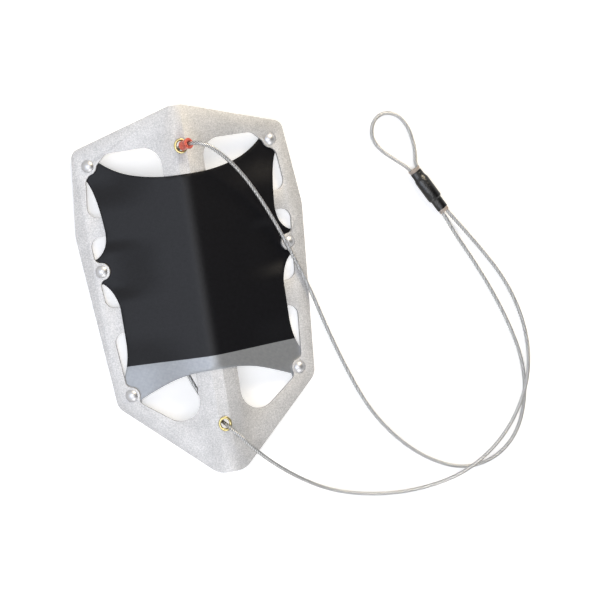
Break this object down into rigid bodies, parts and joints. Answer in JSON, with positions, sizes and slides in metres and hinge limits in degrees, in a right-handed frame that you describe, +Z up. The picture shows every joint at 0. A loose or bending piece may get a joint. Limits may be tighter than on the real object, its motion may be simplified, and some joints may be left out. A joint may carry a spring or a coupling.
{
  "type": "snow fluke anchor",
  "caption": "Folded aluminium snow anchor plate with cut-out windows, a riveted fabric panel over them, and a steel wire rope bridle ending in a clip-in eye.",
  "frame": {"origin": "middle of the folded plate's footprint, on the surface that its two straight side edges stand on", "axes": "+Y along the fold towards the end with the stop sleeve, +Z up through the fold, +X towards the wing that the bridle is laid out beyond"},
  "size_m": [0.3553, 0.3411, 0.0521],
  "materials": {
    "plate": "tumbled, fine satin speckle",
    "fabric": "coated weave, satin, with a plain silver-grey printed band",
    "rivet_metal": "bright, burnished domes",
    "washer_metal": "as stamped",
    "eyelet_brass": "bright rolled edge",
    "stop_red": "red anodised, satin",
    "wire_rope": "7 by 19 stranded, zinc coated",
    "ferrule_metal": "swaged, smooth",
    "clear_tube": "translucent, milky",
    "shrink_tube": "smooth, glossy"
  },
  "bodies": {
    "root": {"clear_tube": "clear_tube", "eye_ferrule": "ferrule_metal", "eye_loop": "wire_rope", "fabric_panel": "fabric", "ferrule_strands": "wire_rope", "fluke_plate": "plate", "lower_eyelet": "eyelet_brass", "lower_leg": "wire_rope", "rear_span": "wire_rope", "rivet_lower_left": "rivet_metal", "rivet_lower_right": "rivet_metal", "rivet_middle_left": "rivet_metal", "rivet_middle_right": "rivet_metal", "rivet_upper_left": "rivet_metal", "rivet_upper_right": "rivet_metal", "shrink_tube": "shrink_tube", "stop_sleeve": "stop_red", "upper_eyelet": "eyelet_brass", "upper_leg": "wire_rope", "washer_lower_left": "washer_metal", "washer_lower_right": "washer_metal", "washer_middle_left": "washer_metal", "washer_middle_right": "washer_metal", "washer_upper_left": "washer_metal", "washer_upper_right": "washer_metal"}
  },
  "joints": []
}
